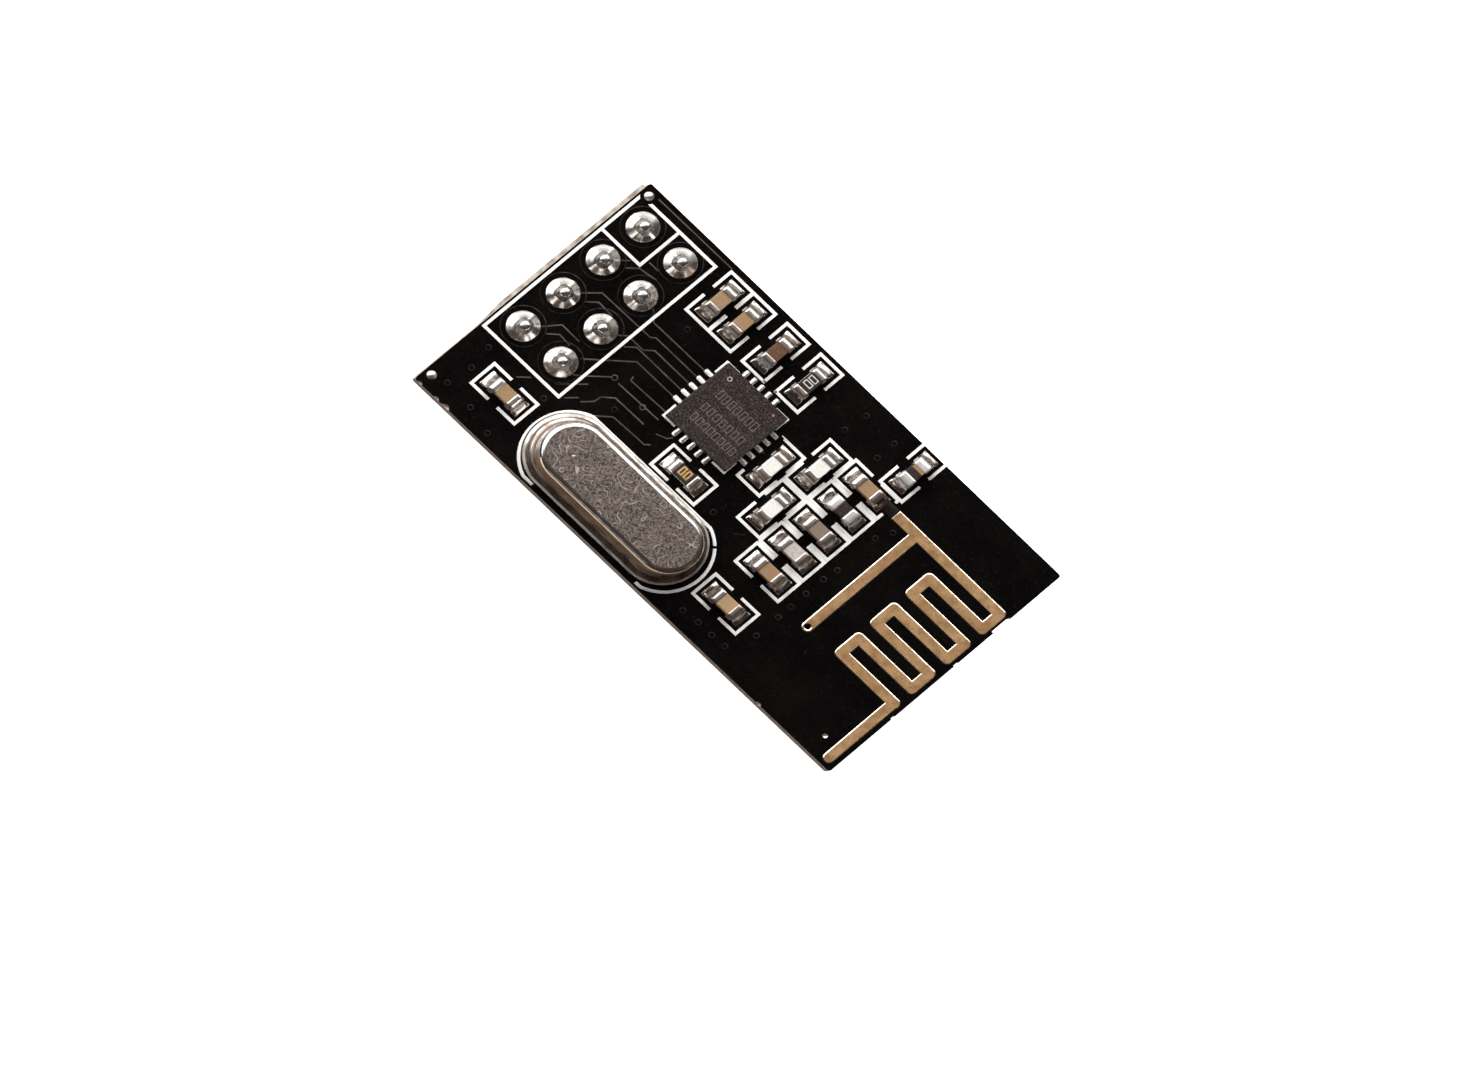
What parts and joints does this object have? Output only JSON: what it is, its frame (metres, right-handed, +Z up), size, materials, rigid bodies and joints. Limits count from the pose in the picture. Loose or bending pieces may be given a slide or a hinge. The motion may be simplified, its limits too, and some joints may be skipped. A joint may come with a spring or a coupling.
{
  "type": "wireless transceiver module",
  "caption": "Small black circuit board with a radio chip, metal-can crystal, chip components and a bare copper meander antenna; a pin header under one end plugs it into a socket.",
  "frame": {"origin": "middle of the pin grid, on the underside of the header housing that seats on a socket", "axes": "+X along the board from the header toward the antenna, +Z up out of the component side, pins along -Z"},
  "size_m": [0.0282, 0.015, 0.0136],
  "materials": {
    "solder_mask": "satin black solder mask over glass-epoxy laminate",
    "tin_plate": "bright tin plate",
    "masked_copper": "black mask over copper",
    "bare_copper": "bare, dulled copper",
    "white_ink": "screened white ink",
    "solder": "bright solder",
    "moulding_compound": "matt moulded epoxy",
    "nickel_silver": "drawn sheet, blasted top and bright rim",
    "nickel_plate": "nickel plate",
    "seal_glass": "fused seal glass",
    "spring_bronze": "spring bronze sheet",
    "quartz": "polished quartz",
    "header_plastic": "moulded black plastic",
    "gold_flash": "gold flash on brass",
    "overcoat": "black glass overcoat",
    "tan_ceramic": "fired tan ceramic",
    "brown_ceramic": "fired brown ceramic",
    "white_ceramic": "fired white ceramic",
    "dark_ceramic": "fired dark ceramic",
    "grey_ceramic": "fired grey ceramic",
    "pale_ceramic": "fired pale grey ceramic",
    "alumina": "fired alumina"
  },
  "bodies": {
    "root": {"circuit_board": "solder_mask", "component_lands": "tin_plate", "signal_traces": "masked_copper", "antenna_strip": "bare_copper", "legend_print": "white_ink", "tinned_holes": "solder", "radio_chip": "moulding_compound", "radio_chip_terminals": "tin_plate", "radio_chip_solder": "solder", "crystal_cover": "nickel_silver", "crystal_base": "nickel_plate", "crystal_seals": "seal_glass", "crystal_leads": "tin_plate", "crystal_clips": "spring_bronze", "quartz_blank": "quartz", "crystal_solder": "solder", "header_housing": "header_plastic", "header_solder": "solder", "resistor_coats": "overcoat", "chip_ends": "tin_plate", "chip_solder": "solder", "header_pin_1": "gold_flash", "header_pin_2": "gold_flash", "header_pin_3": "gold_flash", "header_pin_4": "gold_flash", "header_pin_5": "gold_flash", "header_pin_6": "gold_flash", "header_pin_7": "gold_flash", "header_pin_8": "gold_flash", "supply_capacitor_1": "tan_ceramic", "supply_capacitor_2": "tan_ceramic", "core_capacitor": "brown_ceramic", "bias_resistor": "alumina", "load_capacitor_1": "tan_ceramic", "load_capacitor_2": "tan_ceramic", "feedback_resistor": "alumina", "match_coil_1": "white_ceramic", "match_coil_2": "white_ceramic", "match_coil_3": "white_ceramic", "match_capacitor_1": "tan_ceramic", "match_capacitor_2": "dark_ceramic", "match_capacitor_3": "dark_ceramic", "match_capacitor_4": "grey_ceramic", "match_capacitor_5": "pale_ceramic", "match_capacitor_6": "tan_ceramic"}
  },
  "joints": []
}
